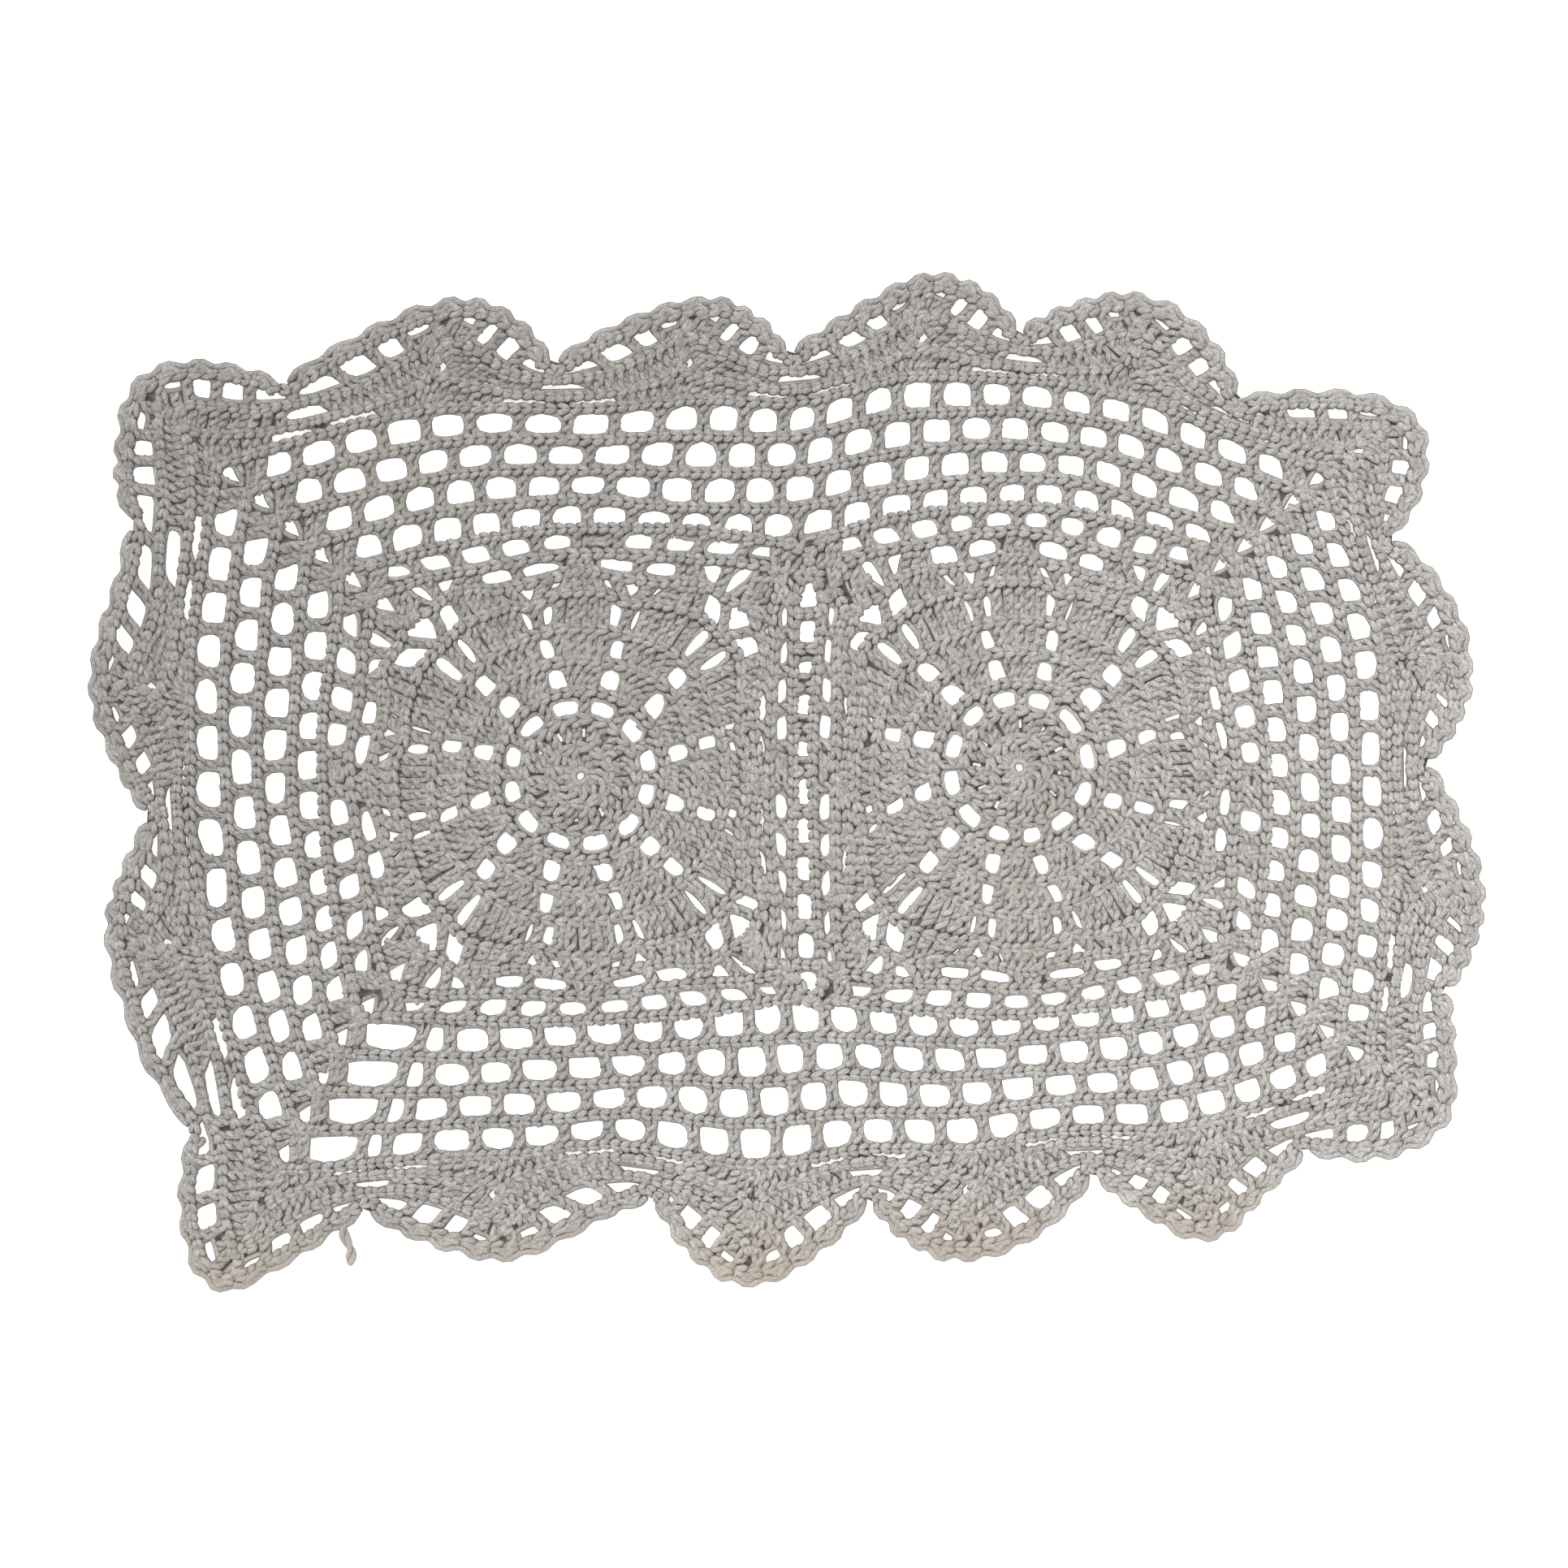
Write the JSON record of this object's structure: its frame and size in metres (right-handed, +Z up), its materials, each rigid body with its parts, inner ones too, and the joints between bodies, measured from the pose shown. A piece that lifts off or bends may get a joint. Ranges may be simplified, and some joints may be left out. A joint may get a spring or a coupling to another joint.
{
  "type": "crochet coaster",
  "caption": "Flat rectangular openwork crochet mat with round leaf motifs, an open mesh border and a scalloped fan edge, laid under a cup or dish.",
  "frame": {"origin": "under the middle of the mat's outline, on the surface it lies on", "axes": "+X along the long side, +Y towards the upper long side, +Z up through the cloth's thickness"},
  "size_m": [0.2994, 0.2182, 0.0024],
  "materials": {
    "cotton_yarn": "matt off-white plied cotton yarn, crocheted"
  },
  "bodies": {
    "root": {"crochet_mat": "cotton_yarn"}
  },
  "joints": []
}
